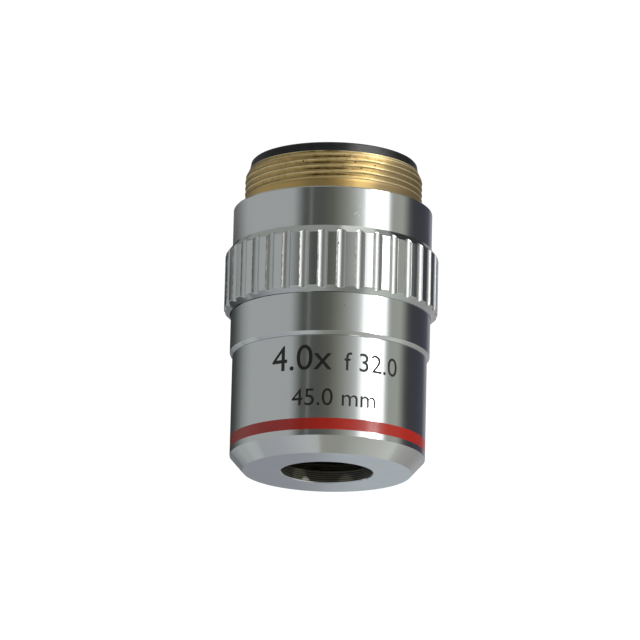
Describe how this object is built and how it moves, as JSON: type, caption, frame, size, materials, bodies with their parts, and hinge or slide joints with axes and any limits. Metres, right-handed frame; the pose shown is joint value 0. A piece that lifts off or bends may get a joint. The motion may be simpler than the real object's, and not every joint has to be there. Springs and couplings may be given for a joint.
{
  "type": "microscope objective",
  "caption": "Low-power plan microscope objective: brass mounting thread, chromed barrel with a fluted grip ring, red colour band, bevelled nose and a full lens train inside.",
  "frame": {"origin": "where the optical axis crosses the seat face, the shoulder that stops against the nosepiece", "axes": "+Z along the optical axis, from the specimen towards the tube; +X through one of the three centring screws"},
  "size_m": [0.0242, 0.0242, 0.0362],
  "materials": {
    "chrome_plate": "bright plate over fine turning marks",
    "bare_brass": "machined thread, slightly dulled",
    "red_enamel": "gloss enamel filled flush",
    "blackened_brass": "chemically blackened, matt",
    "black_anodised": "black anodised, satin",
    "screw_steel": "plain turned steel",
    "crown_glass": "polished and coated",
    "flint_glass": "polished and coated"
  },
  "bodies": {
    "root": {"thread_mount": "bare_brass", "barrel": "chrome_plate", "grip_ring": "chrome_plate", "nose_sleeve": "chrome_plate", "colour_band": "red_enamel", "lens_tube": "blackened_brass", "front_cell": "blackened_brass", "front_retaining_ring": "blackened_brass", "front_flint": "flint_glass", "front_crown": "crown_glass", "front_spacer": "black_anodised", "meniscus_cell": "blackened_brass", "meniscus_lens": "flint_glass", "meniscus_retaining_ring": "blackened_brass", "centring_screws": "screw_steel", "rear_spacer": "black_anodised", "aperture_stop": "black_anodised", "rear_cell": "blackened_brass", "rear_crown": "crown_glass", "rear_flint": "flint_glass", "rear_retaining_ring": "blackened_brass", "train_retaining_ring": "blackened_brass", "parfocal_lock_ring": "blackened_brass", "rear_stop_ring": "black_anodised"}
  },
  "joints": []
}
